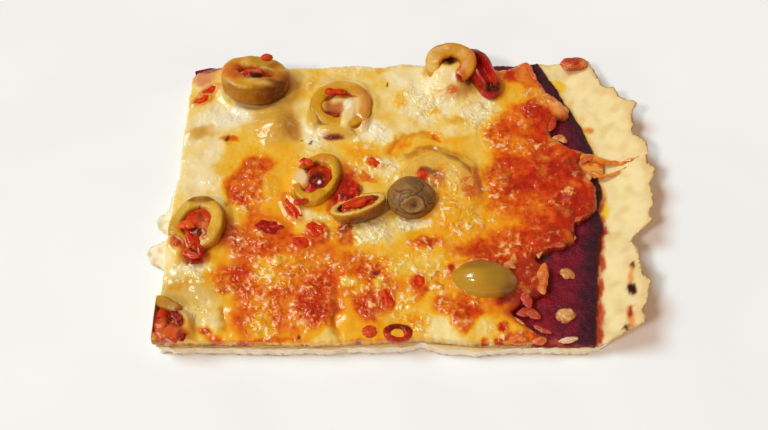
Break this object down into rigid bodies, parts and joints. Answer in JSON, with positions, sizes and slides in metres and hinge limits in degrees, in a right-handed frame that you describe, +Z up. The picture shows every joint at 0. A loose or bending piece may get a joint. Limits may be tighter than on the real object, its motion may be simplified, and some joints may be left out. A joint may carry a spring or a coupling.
{
  "type": "cheese pizza slice",
  "caption": "Rectangular slice of thin sheet pizza with melted cheese, olive slices, a caper and pimento, bare dough at one end",
  "frame": {"origin": "The middle of the box's underside, on the table that the slice lies on", "axes": "X along the slice's long side, towards the bare dough; Y back from the front cut; Z up"},
  "size_m": [0.1378, 0.0946, 0.018],
  "materials": {
    "dough": "pale baked dough, floury and matt, browned at its rim",
    "sauce": "dark baked tomato sauce, wet sheen",
    "cheese": "melted cheese, cream to browned orange and red, oily",
    "olive": "green olive flesh and skin, oily",
    "caper": "wrinkled grey-brown bud",
    "pimento": "cooked red pepper, wet",
    "chunk": "browned cheese crumb"
  },
  "bodies": {
    "root": {"dough": "dough", "sauce": "sauce", "cheese": "cheese", "olive_tall": "olive", "olive_back": "olive", "olive_left": "olive", "olive_middle": "olive", "olive_upright": "olive", "olive_sunken": "olive", "olive_corner": "olive", "olive_whole": "olive", "olive_half": "olive", "caper": "caper", "pepper_curl": "pimento", "pimento_tall": "pimento", "pimento_left": "pimento", "pimento_middle": "pimento", "pimento_sunken": "pimento", "pimento_corner": "pimento", "pimento_half": "pimento", "pimento_tip": "pimento", "pimento_ring": "pimento", "pimento_lobe": "pimento", "browned_chunk": "chunk"}
  },
  "joints": []
}
